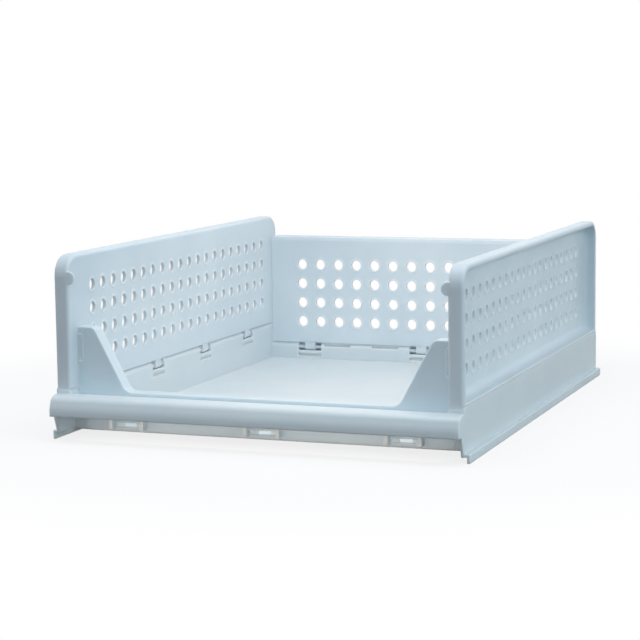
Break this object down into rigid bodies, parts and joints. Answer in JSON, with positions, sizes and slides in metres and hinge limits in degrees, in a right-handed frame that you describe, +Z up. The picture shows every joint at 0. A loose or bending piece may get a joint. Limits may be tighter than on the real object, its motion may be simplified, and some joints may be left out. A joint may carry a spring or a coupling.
{
  "type": "storage box",
  "caption": "Collapsible stacking drawer box: low tray with grip nose and runner lips, perforated side and back panels and an eared front baffle that fold down.",
  "frame": {"origin": "centre of the bounding box's bottom face, in the plane that the runner lips stand on", "axes": "+X to the right seen from the front, +Y to the back, +Z up"},
  "size_m": [0.3306, 0.433, 0.1405],
  "materials": {
    "tray_plastic": "moulded polypropylene, satin",
    "panel_plastic": "moulded polypropylene, satin",
    "baffle_plastic": "moulded polypropylene, satin",
    "pin_plastic": "moulded polypropylene, satin"
  },
  "bodies": {
    "base": {"base_tray": "tray_plastic", "left_panel": "panel_plastic", "right_panel": "panel_plastic", "left_hinge_pin_1": "pin_plastic", "left_hinge_pin_2": "pin_plastic", "left_hinge_pin_3": "pin_plastic", "left_hinge_pin_4": "pin_plastic", "right_hinge_pin_1": "pin_plastic", "right_hinge_pin_2": "pin_plastic", "right_hinge_pin_3": "pin_plastic", "right_hinge_pin_4": "pin_plastic", "back_hinge_pin_1": "pin_plastic", "back_hinge_pin_2": "pin_plastic", "back_hinge_pin_3": "pin_plastic", "front_hinge_pin_1": "pin_plastic", "front_hinge_pin_2": "pin_plastic", "front_hinge_pin_3": "pin_plastic"},
    "back": {"back_panel": "panel_plastic"},
    "front": {"front_panel": "baffle_plastic"}
  },
  "joints": [
    {"name": "back_fold", "type": "hinge", "parent": "base", "child": "back", "pos_m": [0, 0.2045, 0.017], "axis": [1, 0, 0], "range_deg": [0, 90]},
    {"name": "front_fold", "type": "hinge", "parent": "base", "child": "front", "pos_m": [0, -0.1825, 0.017], "axis": [-1, 0, 0], "range_deg": [0, 90]}
  ]
}
